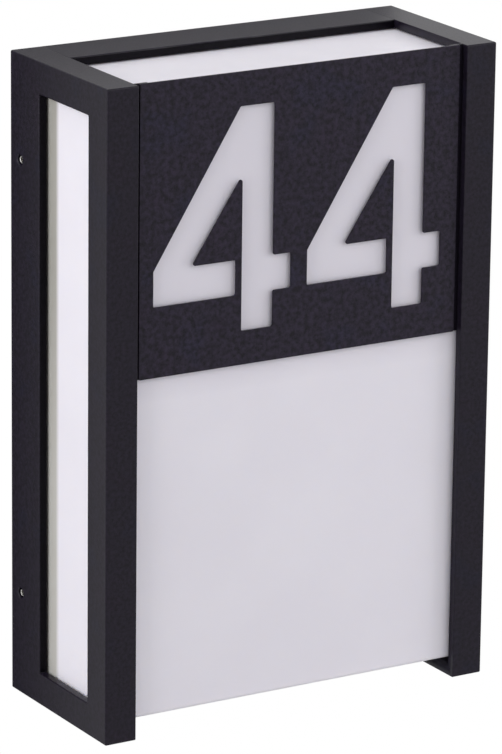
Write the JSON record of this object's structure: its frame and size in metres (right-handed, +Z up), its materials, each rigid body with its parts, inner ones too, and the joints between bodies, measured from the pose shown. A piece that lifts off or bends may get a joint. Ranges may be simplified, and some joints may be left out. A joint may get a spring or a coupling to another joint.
{
  "type": "illuminated house number sign",
  "caption": "Box-shaped wall light in an open dark metal cage, with an opal light box inside and a stencil-cut number plate across its upper front.",
  "frame": {"origin": "middle of the tray's back face, the face that rests on the wall", "axes": "+Z up, +X to the right as seen from the street, +Y into the wall, so the front faces -Y"},
  "size_m": [0.18, 0.08, 0.27],
  "materials": {
    "cage_paint": "fine-textured anthracite powder coat",
    "plate_paint": "fine-textured anthracite powder coat",
    "rail_black": "matt black",
    "opal_acrylic": "satin opal acrylic",
    "tray_paint": "matt anthracite powder coat",
    "seal_rubber": "matt black",
    "stainless_screw": "plain stainless",
    "zinc_steel": "zinc plated",
    "porcelain": "glazed porcelain",
    "brass_parts": "plain brass",
    "lamp_cap_metal": "nickel plated",
    "insulator_glass": "black glass",
    "lamp_collar_plastic": "white plastic",
    "lamp_globe_opal": "opal plastic",
    "block_plastic": "natural nylon",
    "lead_brown": "silicone insulation",
    "lead_blue": "silicone insulation",
    "lead_green": "silicone insulation, yellow stripe added in the look",
    "tinned_copper": "tinned"
  },
  "bodies": {
    "base": {"base_tray": "tray_paint", "diffuser_seal": "seal_rubber", "cable_grommet": "seal_rubber", "holder_body": "porcelain", "holder_shell": "brass_parts", "holder_contact": "brass_parts", "holder_ferrules": "brass_parts", "holder_bracket": "zinc_steel", "holder_screws": "zinc_steel", "bracket_screws": "zinc_steel", "terminal_block": "block_plastic", "terminal_tubes": "brass_parts", "terminal_screws": "zinc_steel", "block_screws": "zinc_steel", "lead_live": "lead_brown", "lead_neutral": "lead_blue", "lead_earth": "lead_green", "earth_lug": "tinned_copper", "earth_washer": "zinc_steel", "earth_screw": "brass_parts"},
    "cover": {"side_frame_left": "cage_paint", "side_frame_right": "cage_paint", "top_crossbar": "cage_paint", "bottom_crossbar": "cage_paint", "number_plate": "plate_paint", "plate_rail_left": "rail_black", "plate_rail_right": "rail_black", "diffuser": "opal_acrylic", "diffuser_clips": "zinc_steel", "clip_screws": "zinc_steel"},
    "lamp": {"lamp_cap": "lamp_cap_metal", "lamp_insulator": "insulator_glass", "lamp_contact": "lamp_cap_metal", "lamp_collar": "lamp_collar_plastic", "lamp_globe": "lamp_globe_opal"},
    "set_screw_left_lower": {"set_screw_left_lower": "stainless_screw"},
    "set_screw_left_upper": {"set_screw_left_upper": "stainless_screw"},
    "set_screw_right_lower": {"set_screw_right_lower": "stainless_screw"},
    "set_screw_right_upper": {"set_screw_right_upper": "stainless_screw"}
  },
  "joints": [
    {"name": "cover_slide", "type": "slide", "parent": "base", "child": "cover", "axis": [0, -1, 0], "range_m": [0, 0.09]},
    {"name": "lamp_turn", "type": "hinge", "parent": "base", "child": "lamp", "pos_m": [0, -0.0375, -0.05], "axis": [0, 0, 1], "range_deg": [0, 1260]},
    {"name": "set_screw_left_lower_turn", "type": "hinge", "parent": "cover", "child": "set_screw_left_lower", "pos_m": [-0.0862, -0.0085, -0.0915], "axis": [-1, 0, 0], "range_deg": [0, 1080]},
    {"name": "set_screw_left_upper_turn", "type": "hinge", "parent": "cover", "child": "set_screw_left_upper", "pos_m": [-0.0862, -0.0085, 0.0915], "axis": [-1, 0, 0], "range_deg": [0, 1080]},
    {"name": "set_screw_right_lower_turn", "type": "hinge", "parent": "cover", "child": "set_screw_right_lower", "pos_m": [0.0862, -0.0085, -0.0915], "axis": [1, 0, 0], "range_deg": [0, 1080]},
    {"name": "set_screw_right_upper_turn", "type": "hinge", "parent": "cover", "child": "set_screw_right_upper", "pos_m": [0.0862, -0.0085, 0.0915], "axis": [1, 0, 0], "range_deg": [0, 1080]}
  ]
}
